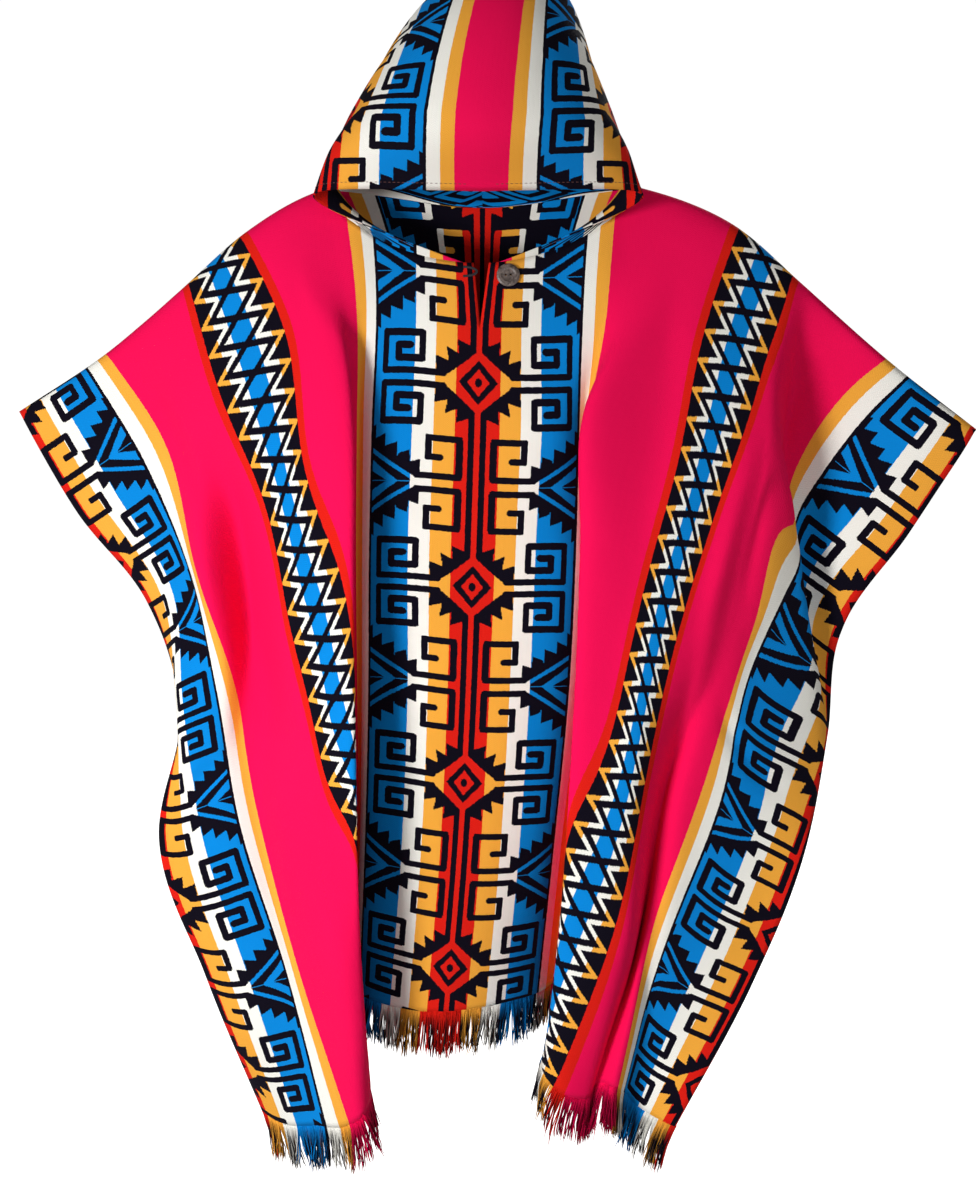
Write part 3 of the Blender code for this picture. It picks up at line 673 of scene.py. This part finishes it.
def ribs(graph, u, v):
    """Height of the weave: a herringbone of fine ribs."""
    slant = graph.times(graph.math("PINGPONG", u, HERRINGBONE), RIB_SLANT)
    twill = graph.math("SINE", graph.plus(slant, graph.times(v, math.tau / RIB_PITCH)))
    warps = graph.math("SINE", graph.times(u, WARP_RATE))
    return graph.plus(graph.times(twill, 0.8), graph.times(warps, 0.35))


def cloth_material(name, reverse=False):
    """Woven double cloth with its stripes and figures, read from each point's flat place."""
    graph = Graph(name)
    uv = graph.node("ShaderNodeUVMap", uv_map="flat").outputs[0]
    flat = graph.vector("SCALE", uv)
    flat.node.inputs["Scale"].default_value = 1 / MM
    u, v, _ = graph.separate(flat)
    wander = graph.noise(uv, scale=260.0, detail=1.0)
    u_yarn, v_yarn = (graph.math("SNAP", graph.plus(value, wander), YARN_STEP)
                      for value in (u, v))
    across = fold_back(graph, graph.math("ABSOLUTE", u_yarn), MIRROR)
    along = graph.math("PINGPONG", graph.plus(v_yarn, ALL_DOWN), REPEAT / 2)
    dark = graph.math("MAXIMUM", dark_figures(graph, across, along),
                      dark_zigzags(graph, across, v_yarn))
    if reverse:
        plain = graph.between(across, *PLAIN_REVERSE)
        dark = graph.minus(1.0, graph.math("MAXIMUM", dark, plain))
    colour = graph.mix(dark, stripe_colour(graph, across), NAVY)

    weave = ribs(graph, u, v)
    strength = graph.minus(FIGURED_WEAVE, graph.times(
        graph.between(across, *PINK_STRIPE), FIGURED_WEAVE - PLAIN_WEAVE))
    cloudy = graph.noise(uv, scale=14.0, detail=3.0)
    fuzz = graph.noise(graph.combine(u, v), scale=1.1)
    uneven = graph.plus(graph.times(graph.minus(cloudy, 0.5), CLOUDY),
                        graph.times(graph.minus(fuzz, 0.5), FUZZY))
    shade = graph.plus(1.0, graph.plus(graph.times(weave, strength), uneven))
    graph.paint(colour, shade, roughness=0.88, shine=CLOTH_SHINE)
    graph.bump(graph.line(weave, 0.8, fuzz), strength=0.35, distance=0.0004)
    return graph.material


# ------------ the body
CREASE_START = 60.0           # creases grow in over this distance below the fold, mm


def body(front, back):
    """The whole length of cloth in one sheet, with its neck hole and slit."""
    half = round(HALF_WIDTH / CELL)
    u = np.linspace(-HALF_WIDTH, HALF_WIDTH, 2 * half + 1)
    rows = round(LENGTH / CELL)
    share = np.linspace(0, 1, rows + 1)[:, None]
    points, flat, index = [], [], {}
    count = 0
    for cloth, depth, creases in ((front, NECK_FRONT, FRONT_CREASES),
                                  (back, NECK_BACK, BACK_CREASES)):
        top = neck_edge(u, depth)
        v = top + share * (LENGTH - top)
        u_all = np.broadcast_to(u, v.shape)
        where = cloth.points(u_all.ravel(), v.ravel()).reshape(v.shape + (3,))
        fade = np.clip(v / CREASE_START, 0, 1)
        where[..., 1] += cloth.facing * fade * relief(creases, u_all, v) * MM
        if cloth is front:
            where[..., 0] += np.sign(u_all) * slit_spread(u_all, v)
        numbers = np.arange(count, count + v.size).reshape(v.shape)
        points.append(where.reshape(-1, 3))
        woven = pulled(u_all, v) if cloth is front else (u_all, -v)
        flat.append(np.stack(woven, axis=-1).reshape(-1, 2))
        count += v.size
        index[cloth.facing] = numbers
    outer = np.abs(u) >= NECK_HALF_WIDTH
    index[1][0, outer] = index[-1][0, outer]
    points, flat = np.concatenate(points), np.concatenate(flat)

    # the slit: the middle line's points above its end are doubled and drawn apart
    level = NECK_FRONT + share[:, 0] * (LENGTH - NECK_FRONT)
    level = level[level < SLIT_END]
    open_rows = len(level)
    middle = index[-1][:open_rows, half]
    spread = SLIT_HALF_GAP * MM * (SLIT_END - level) / (SLIT_END - NECK_FRONT)
    twins = np.arange(len(points), len(points) + open_rows)
    points = np.concatenate([points, points[middle]])
    flat = np.concatenate([flat, flat[middle]])
    points[middle, 0] -= spread
    points[twins, 0] += spread

    faces = []
    for facing, numbers in index.items():
        left, right = numbers[:, :-1].copy(), numbers[:, 1:]
        if facing < 0:
            left[:open_rows, half] = twins
        a, b, c, d = left[:-1], right[:-1], right[1:], left[1:]
        quads = np.stack([a, b, c, d] if facing > 0 else [a, d, c, b], axis=-1)
        faces.append(quads.reshape(-1, 4))

    def drop_loose(mesh):
        loose = [vert for vert in mesh.verts if not vert.link_faces]
        bmesh.ops.delete(mesh, geom=loose, context="VERTS")
    return cloth_sheet("body", points, np.concatenate(faces), flat, drop_loose)


# ------------ the hood
def neck_feet(front, back, side, angles):
    """Points on the neck seam; angle 0 is at the front slit, pi at the back."""
    u = side * NECK_HALF_WIDTH * np.sin(angles)
    ahead = np.cos(angles) >= 0
    v = np.where(ahead, NECK_FRONT, NECK_BACK) * abs(np.cos(angles))
    points = np.where(ahead[:, None], front.points(u, v), back.points(u, v))
    points[:, 0] += np.where(ahead, side * slit_spread(u, v), 0)
    return points / MM


def hood_grid(front, back, side, across=44, along=56):
    """Points of half the hood, from the middle seam to the neck seam."""
    angles = np.linspace(NECK_TIP_ANGLE, math.pi, along + 1)
    feet = neck_feet(front, back, side, angles)
    last = len(HOOD_SECTIONS) - 1
    at = np.linspace(0, last, along + 1)
    flip = np.array([side, 1, 1])
    t = np.linspace(0, 1, across + 1)[:, None]
    sections = []
    for number, row in enumerate(HOOD_SECTIONS):
        foot = np.array([np.interp(number, at, feet[:, axis]) for axis in range(3)])
        sections.append((1 - t) ** 3 * np.array(row.top)
                        + 3 * t * (1 - t) ** 2 * np.array(row.upper) * flip
                        + 3 * t * t * (1 - t) * np.array(row.side) * flip + t ** 3 * foot)
    beyond = sections[-2] * [-1, 1, 1] + [2 * sections[-1][0, 0], 0, 0]
    sections = np.array(sections + [beyond])
    knots = np.arange(len(sections))
    grid = np.array([np.transpose([smooth(knots, sections[:, i, axis], at)
                                   for axis in range(3)]) for i in range(across + 1)])
    grid += t[:, None] ** 3 * (feet - grid[-1])
    grid[..., 0] += side * np.maximum(0, side * (grid[:, -1:, 0] - grid[..., 0]))
    grid[..., 0] += HOOD_LEAN * (np.maximum(grid[..., 2], 0) / HOOD_LEAN_HEIGHT) ** 2
    return grid


def arc_lengths(grid, axis):
    """Distance along the cloth from the grid's first line, along one of its axes."""
    step = np.linalg.norm(np.diff(grid, axis=axis), axis=2)
    start = np.zeros_like(step.take([0], axis=axis))
    return np.concatenate([start, np.cumsum(step, axis=axis)], axis=axis)


# Where each half of the hood lies on the flat cloth: the place across at its seam, the
# place along at its lip, how fast the cloth runs there, how much of it is eased in
# across, and how much faster it runs over the crown.
HoodCut = namedtuple("HoodCut", "side across along pace ease crown")
HOOD_CUTS = table(HoodCut, (-1, -156.0, 115.0, 0.90, 0.13, 0.30),
                  (1, -156.0, 115.0, 1.0, 0.12, 0.08))
CROWN_START = 75.0            # the crown is this far above the lip, mm
SEAM_DRIFT = 6.0              # how far the seam strays across the cloth by the back, mm
OWN_RUN = 0.4                 # the largest share of a line's own length across that counts
EASE_SHARE = 0.25             # the easing grows in over this share of the hood's depth
LIP_TIP_U = 165.0             # the cloth's place across at the front slit, mm
GATHER = 1.03                 # cloth gathered into the neck seam for each mm of it
GATHER_START = 0.15           # it begins over this share below the corner of the lip
GATHER_BACK, GATHER_REACH = 10, 40      # where it ends, and how gradually, mm


def hood_flat(grid, cut):
    """The flat place of each point of half the hood, in mm."""
    across, along = arc_lengths(grid, 0), arc_lengths(grid, 1)
    lip = across[:, :1]
    share = np.linspace(0, 1, grid.shape[1])[None, :]
    run = lip + (across - lip) * np.minimum(share, OWN_RUN)
    eased = 1 - cut.ease * np.minimum(share / EASE_SHARE, 1)
    u = cut.across - SEAM_DRIFT * share + run * eased
    # below the corner of the lip, the cloth is gathered into the neck seam
    corner = int(abs(grid[:, 0, 0]).argmax())
    strip = LIP_TIP_U - GATHER * abs(grid[..., 0])
    t = np.arange(len(grid))[:, None] / corner
    weight = (np.clip((t - 1.0) / GATHER_START, 0, 1)
              * np.clip((GATHER_BACK - grid[..., 1]) / GATHER_REACH, 0, 1))
    u = u + (strip - u) * weight
    crown = cut.crown * np.clip(along - CROWN_START, 0, None)
    return np.stack([u, cut.along + along * cut.pace + crown], axis=-1)


def hood(front, back):
    """The hood: two halves sewn together over the top and down the back."""
    points, flat, faces = [], [], []
    for cut in HOOD_CUTS:
        grid = hood_grid(front, back, cut.side)
        rows, columns = grid.shape[:2]
        number = (len(points) * rows * columns
                  + np.arange(rows * columns).reshape(rows, columns))
        quads = np.stack([number[:-1, :-1], number[1:, :-1], number[1:, 1:],
                          number[:-1, 1:]], axis=-1).reshape(-1, 4)
        faces.append(quads if cut.side > 0 else quads[:, ::-1])
        points.append(grid.reshape(-1, 3))
        flat.append(hood_flat(grid, cut).reshape(-1, 2))

    def sew_seam(mesh):
        bmesh.ops.remove_doubles(mesh, verts=mesh.verts, dist=0.0001)
    made = cloth_sheet("hood", np.concatenate(points) * MM, np.concatenate(faces),
                       np.concatenate(flat), sew_seam)
    return place(made, "hood_left", "hood_right")


# ------------ the fringe
# The loose warp ends, in mm. Every other yarn hangs behind its neighbours.
YARN_SPACING = 0.46           # along the flat hem
YARN_LENGTH = (46, 55)        # of a tuft's yarns
YARN_REACH = (0.80, 1.04)     # of one yarn, as a share of that
YARN_RADIUS = (0.60, 0.85)
YARN_DEPTH = 1.1              # how far behind the hidden yarns hang
YARN_RISE = 1.0               # how far above the hem a yarn starts
HEM_SPAN = 14.0               # the cloth's last stretch, whose fall the yarns take up
TUFT_WIDTH = 7.0
TUFT_LEAN = 0.05              # the spread of a tuft's slopes
TUFT_GATHER = (0.0, 0.30)     # how far its yarns are drawn to its middle
YARN_STRAY = (0.045, 0.05)    # the spread of a yarn's own slopes, across and forward
YARN_SWAY = (0.4, 1.3)        # of its waves
YARN_TURNS = (5.0, 10.0)      # radians of them down its length
PLACE_SCATTER = 0.4           # of its root, as a share of the spacing
DEPTH_SCATTER = 0.4
HANG_BEND = 0.35              # how far a yarn turns from the cloth's fall to straight down
YARN_RINGS, YARN_SIDES = 8, 3
# Painted shade: a share of the yarns is painted dark brown, for the shade between strands.
PAINTED_SHADE_YARN = (0.10, 0.05, 0.03, 1)
PAINTED_SHADE_SHARE, NAVY_SHARE = 0.12, 0.42     # of the yarns, and of those that hang behind
# Painted shade: the share of a yarn's colour left at its end, for yarns in front and behind;
# the yarns behind are painted darker.
PAINTED_END_SHADES = ((0.55, 1.0), (0.30, 0.60))
PINK_PAINTED_END_SHADES = ((0.40, 0.80), (0.18, 0.45))


def yarn_colour(u, rand, behind):
    """A yarn's colour where it leaves the cloth at flat place u, and at its end, darkened
    there by painted shade.
    """
    across = MIRROR - abs(abs(u) - MIRROR)
    colour = [row.colour for row in STRIPES if row.start <= across][-1]
    start = colour
    # painted shade: the yarn's end is darker, more so for a yarn that hangs behind
    shade = rand.uniform(*PAINTED_END_SHADES[behind])
    if PINK_STRIPE[0] < across < PINK_STRIPE[1]:
        shade = rand.uniform(*PINK_PAINTED_END_SHADES[behind])
    elif behind and rand.random() < NAVY_SHARE:
        colour, shade = NAVY, 1.0
    # painted shade: these yarns are painted dark brown
    elif rand.random() < PAINTED_SHADE_SHARE:
        colour = PAINTED_SHADE_YARN
    end = [channel * shade for channel in colour[:3]]
    return np.array([start, end + [1.0]])


def fringe(name, cloth, seed):
    """Loose yarns below a hem, drawn together in small tufts."""
    rand = random.Random(seed)
    count = int(2 * HALF_WIDTH / YARN_SPACING)
    scatter = (rand.uniform(-PLACE_SCATTER, PLACE_SCATTER) for _ in range(count))
    u = np.array([-HALF_WIDTH + (i + 0.5 + off) * 2 * HALF_WIDTH / count
                  for i, off in enumerate(scatter)])
    root = cloth.points(u, np.full(len(u), LENGTH - YARN_RISE))
    above = cloth.points(u, np.full(len(u), LENGTH - HEM_SPAN))
    fall = (root - above) / np.linalg.norm(root - above, axis=1)[:, None]
    beside = cloth.points(u + 2.0, np.full(len(u), LENGTH - YARN_RISE)) - root
    outward = np.cross(fall, beside) * cloth.facing
    outward /= np.linalg.norm(outward, axis=1)[:, None]
    straight_down = np.array([0.0, 0.0, -1.0])
    points, faces, colours = [], [], []
    tuft = None
    for i, place_u in enumerate(u):
        number = int((place_u + HALF_WIDTH) // TUFT_WIDTH)
        if number != tuft:
            tuft = number
            lean = np.array([rand.gauss(0, TUFT_LEAN), rand.gauss(0, TUFT_LEAN), 0.0])
            gather = rand.uniform(*TUFT_GATHER)
            length = rand.uniform(*YARN_LENGTH) * MM
        behind = i % 2 == 1
        reach = length * rand.uniform(*YARN_REACH)
        stray = np.array([rand.gauss(0, spread) for spread in YARN_STRAY] + [0.0])
        middle_u = -HALF_WIDTH + (tuft + 0.5) * TUFT_WIDTH
        pull = np.array([(middle_u - place_u) * gather * MM / reach, 0, 0])
        twist = rand.uniform(0, math.tau)
        sway = rand.uniform(*YARN_SWAY) * MM
        turns = rand.uniform(*YARN_TURNS)
        depth = (-YARN_DEPTH if behind else 0.0) * MM + MM * rand.uniform(
            -DEPTH_SCATTER, DEPTH_SCATTER)
        thick = rand.uniform(*YARN_RADIUS) * MM
        colour = yarn_colour(float(place_u), rand, behind)
        base = len(points)
        for k in range(YARN_RINGS):
            t = k / (YARN_RINGS - 1)
            wave = sway * math.sin(twist + t * turns) * t
            hang = fall[i] * (t - HANG_BEND * t * t) + straight_down * HANG_BEND * t * t
            centre = root[i] + reach * (hang + (lean + stray + pull) * t ** 1.4)
            centre = centre + outward[i] * depth * min(1.0, 3 * t)
            centre = centre + np.array([wave, wave / 2, 0])
            size = thick * (1.15 - 0.3 * t) * (0.4 if k == YARN_RINGS - 1 else 1.0)
            for side in range(YARN_SIDES):
                turn = math.tau * side / YARN_SIDES + twist + 1.2 * t
                points.append(centre + size * np.array([math.cos(turn), math.sin(turn), 0]))
                # painted shade: the colour darkens from the root towards the end
                colours.append(colour[0] + (colour[1] - colour[0]) * min(1.0, 2.5 * t))
        faces += tube_faces(base, YARN_RINGS, YARN_SIDES)
    made = new_mesh(name + "_yarns", points, faces)
    layer = made.data.color_attributes.new("yarn", "FLOAT_COLOR", "POINT")
    layer.data.foreach_set("color", np.array(colours, np.float32).ravel())
    made.data.materials.append(YARN_LOOK)
    return place(made, name)


def yarn_material():
    """Loose yarn, coloured strand by strand."""
    graph = Graph("yarn")
    colour = graph.node("ShaderNodeAttribute", attribute_name="yarn").outputs[0]
    fuzz = graph.noise(graph.object_place(), scale=900.0)
    graph.paint(colour, graph.line(0.75, 0.5, fuzz), roughness=0.9, shine=CLOTH_SHINE)
    graph.bump(fuzz, strength=0.5, distance=0.0003)
    return graph.material


# ------------ trims
def shell_material():
    """Polished coconut shell: brown-grey, mottled, a little worn to a shine."""
    graph = Graph("coconut")
    where = graph.object_place()
    mottle = graph.noise(where, scale=420.0, detail=4.0, rough=0.65)
    grain = graph.noise(where, scale=1500.0)
    ramp = graph.node("ShaderNodeValToRGB")
    stops = ramp.color_ramp.elements
    stops[0].position, stops[0].color = 0.32, (0.030, 0.022, 0.019, 1)
    stops[1].position, stops[1].color = 0.68, (0.215, 0.165, 0.145, 1)
    graph.put(ramp.inputs[0], mottle)
    graph.paint(ramp.outputs[0], graph.line(0.75, 0.5, grain), roughness=0.38)
    graph.bump(mottle, strength=0.3, distance=0.0002)
    return graph.material


def thread_material(name, colour):
    """Plied sewing thread."""
    graph = Graph(name)
    fuzz = graph.noise(graph.object_place(), scale=2500.0)
    graph.paint(colour, graph.line(0.6, 0.8, fuzz), roughness=0.8)
    graph.bump(fuzz, strength=0.5, distance=0.0001)
    return graph.material


# The hem round the hood's opening: its depth, and its stitches' size and gap, in mm.
HEM_DEPTH = 8.0
STITCH_RADIUS = 0.28
STITCH_LENGTH, STITCH_GAP = 2.6, 1.7
STITCH_SIDES = 6
# Along a stitch: the share of its length, its rise and its width, both in radii.
STITCH_RINGS = ((0, -0.2, 0.4), (0.2, 0.5, 1), (0.8, 0.5, 1), (1, -0.2, 0.4))


def stitches(name, runs, material, slot):
    """Short raised stitches; each run is a list of points and outward directions."""
    points, faces = [], []
    for run in runs:
        for (start, up), (end, _) in run:
            along = end - start
            length = along.length
            along.normalize()
            across = along.cross(up).normalized()
            base = len(points)
            for t, rise, wide in STITCH_RINGS:
                centre = start + along * length * t + up * rise * STITCH_RADIUS * MM
                for side in range(STITCH_SIDES):
                    angle = math.tau * side / STITCH_SIDES
                    points.append(centre + STITCH_RADIUS * wide * MM * (
                        across * math.cos(angle) + up * math.sin(angle)))
            faces += tube_faces(base, len(STITCH_RINGS), STITCH_SIDES)
    made = new_mesh(name, points, faces)
    made.data.materials.append(material)
    return place(made, slot=slot)


def walk(line, normals, length, gap):
    """Pairs of ends for stitches set along a line of points."""
    line = np.asarray(line)
    done = np.concatenate([[0], np.cumsum(np.linalg.norm(np.diff(line, axis=0), axis=1))])
    marks = np.arange(gap, done[-1] - length, length + gap)

    def at(distance):
        where = [np.interp(distance, done, line[:, axis]) for axis in range(3)]
        up = Vector([np.interp(distance, done, normals[:, axis]) for axis in range(3)])
        return Vector(where), up.normalized()
    return [(at(mark), at(mark + length)) for mark in marks]


def hood_hem(front, back):
    """The hem stitched round the hood's opening, a finger's width from its edge."""
    runs = []
    for cut in HOOD_CUTS:
        grid = hood_grid(front, back, cut.side) * MM
        along = arc_lengths(grid / MM, 1)
        line, normals = [], []
        for i in range(1, len(grid) - 3):
            column = int(np.searchsorted(along[i], HEM_DEPTH))
            before, after = along[i, column - 1], along[i, column]
            share = (HEM_DEPTH - before) / (after - before)
            here = grid[i, column - 1] + share * (grid[i, column] - grid[i, column - 1])
            slope = np.cross(grid[i + 1, column] - grid[i - 1, column],
                             grid[i, column + 1] - grid[i, column - 1]) * cut.side
            up = slope / np.linalg.norm(slope)
            line.append(here + up * CLOTH * MM / 2)
            normals.append(up)
        runs.append(walk(line, np.array(normals), STITCH_LENGTH * MM, STITCH_GAP * MM))
    return stitches("hood_hem", runs, HEM_THREAD, slot="hood_left")


# ------------ scene
FLOOR_LEVEL, FLOOR_REACH = -1.30, 12.0
SKY_SEEN, SKY_LIGHT = 1.02, 0.25        # the white sky in view, and as light
Lamp = namedtuple("Lamp", "name place target size power spread")
LAMPS = table(
    Lamp,
    ("key", (-1.45, -1.65, -0.20), (-0.02, 0, -0.64), 0.7, 10.6, 85),
    ("fill", (1.2, -2.0, 0.0), (0, 0, -0.6), 1.4, 6.4, 180),
    ("rear", (0.5, 2.5, 0.6), (0, 0, -0.4), 1.6, 34, 180),
)


def stage_and_light():
    """A pale floor against white, with soft light mostly from the left."""
    corners = ((-1, -1), (1, -1), (1, 1), (-1, 1))
    floor = new_mesh("floor", [(x * FLOOR_REACH, y * FLOOR_REACH, FLOOR_LEVEL)
                               for x, y in corners], [(0, 1, 2, 3)])
    graph = Graph("floor")
    graph.surface(Base_Color=(0.92, 0.91, 0.90, 1), Roughness=0.9,
                  Emission_Color=(1, 0.99, 0.98, 1), Emission_Strength=0.85)
    floor.data.materials.append(graph.material)
    floor.visible_diffuse = False

    world = bpy.data.worlds.new("world")
    bpy.context.scene.world = world
    world.use_nodes = True
    tree = world.node_tree
    seen, unseen = tree.nodes["Background"], tree.nodes.new("ShaderNodeBackground")
    for background, strength in ((seen, SKY_SEEN), (unseen, SKY_LIGHT)):
        background.inputs[0].default_value = (1, 1, 1, 1)
        background.inputs[1].default_value = strength
    ray, mix = tree.nodes.new("ShaderNodeLightPath"), tree.nodes.new("ShaderNodeMixShader")
    tree.links.new(ray.outputs["Is Camera Ray"], mix.inputs[0])
    tree.links.new(unseen.outputs[0], mix.inputs[1])
    tree.links.new(seen.outputs[0], mix.inputs[2])
    tree.links.new(mix.outputs[0], tree.nodes["World Output"].inputs[0])

    for lamp in LAMPS:
        data = bpy.data.lights.new(lamp.name, "AREA")
        data.shape = "DISK"
        data.size = lamp.size
        data.energy = lamp.power
        data.spread = math.radians(lamp.spread)
        made = add(lamp.name, data)
        made.location = lamp.place
        aim = Vector(lamp.target) - Vector(lamp.place)
        made.rotation_euler = aim.to_track_quat("-Z", "Y").to_euler()

    bpy.context.scene.view_settings.view_transform = "Standard"
    data = bpy.data.cameras.new("camera")
    data.lens = 60.0
    data.sensor_width = 36.0
    camera = add("camera", data)
    camera.location = (0.010, -1.956, 0.016)
    camera.rotation_euler = (math.radians(78.0), 0, 0)
    bpy.context.scene.camera = camera


front_cloth = HungCloth(FRONT_FOLDS, -1)
back_cloth = HungCloth(BACK_FOLDS, 1)
CLOTH_LOOK = cloth_material("woven_cloth")
REVERSE_LOOK = cloth_material("woven_cloth_reverse", reverse=True)
YARN_LOOK = yarn_material()
body_sheet = place(body(front_cloth, back_cloth), "front", "back")
hood_piece = hood(front_cloth, back_cloth)
fringe_front = fringe("fringe_front", front_cloth, seed=3)
fringe_back = fringe("fringe_back", back_cloth, seed=4)
HEM_THREAD = thread_material("hem_thread", (0.12, 0.035, 0.03, 1))
DARK_THREAD = thread_material("dark_thread", (0.012, 0.008, 0.012, 1))
hem = hood_hem(front_cloth, back_cloth)
for node, material in (("button", shell_material()), ("button_loop", DARK_THREAD)):
    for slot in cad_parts[node].material_slots:
        slot.material = material
stage_and_light()
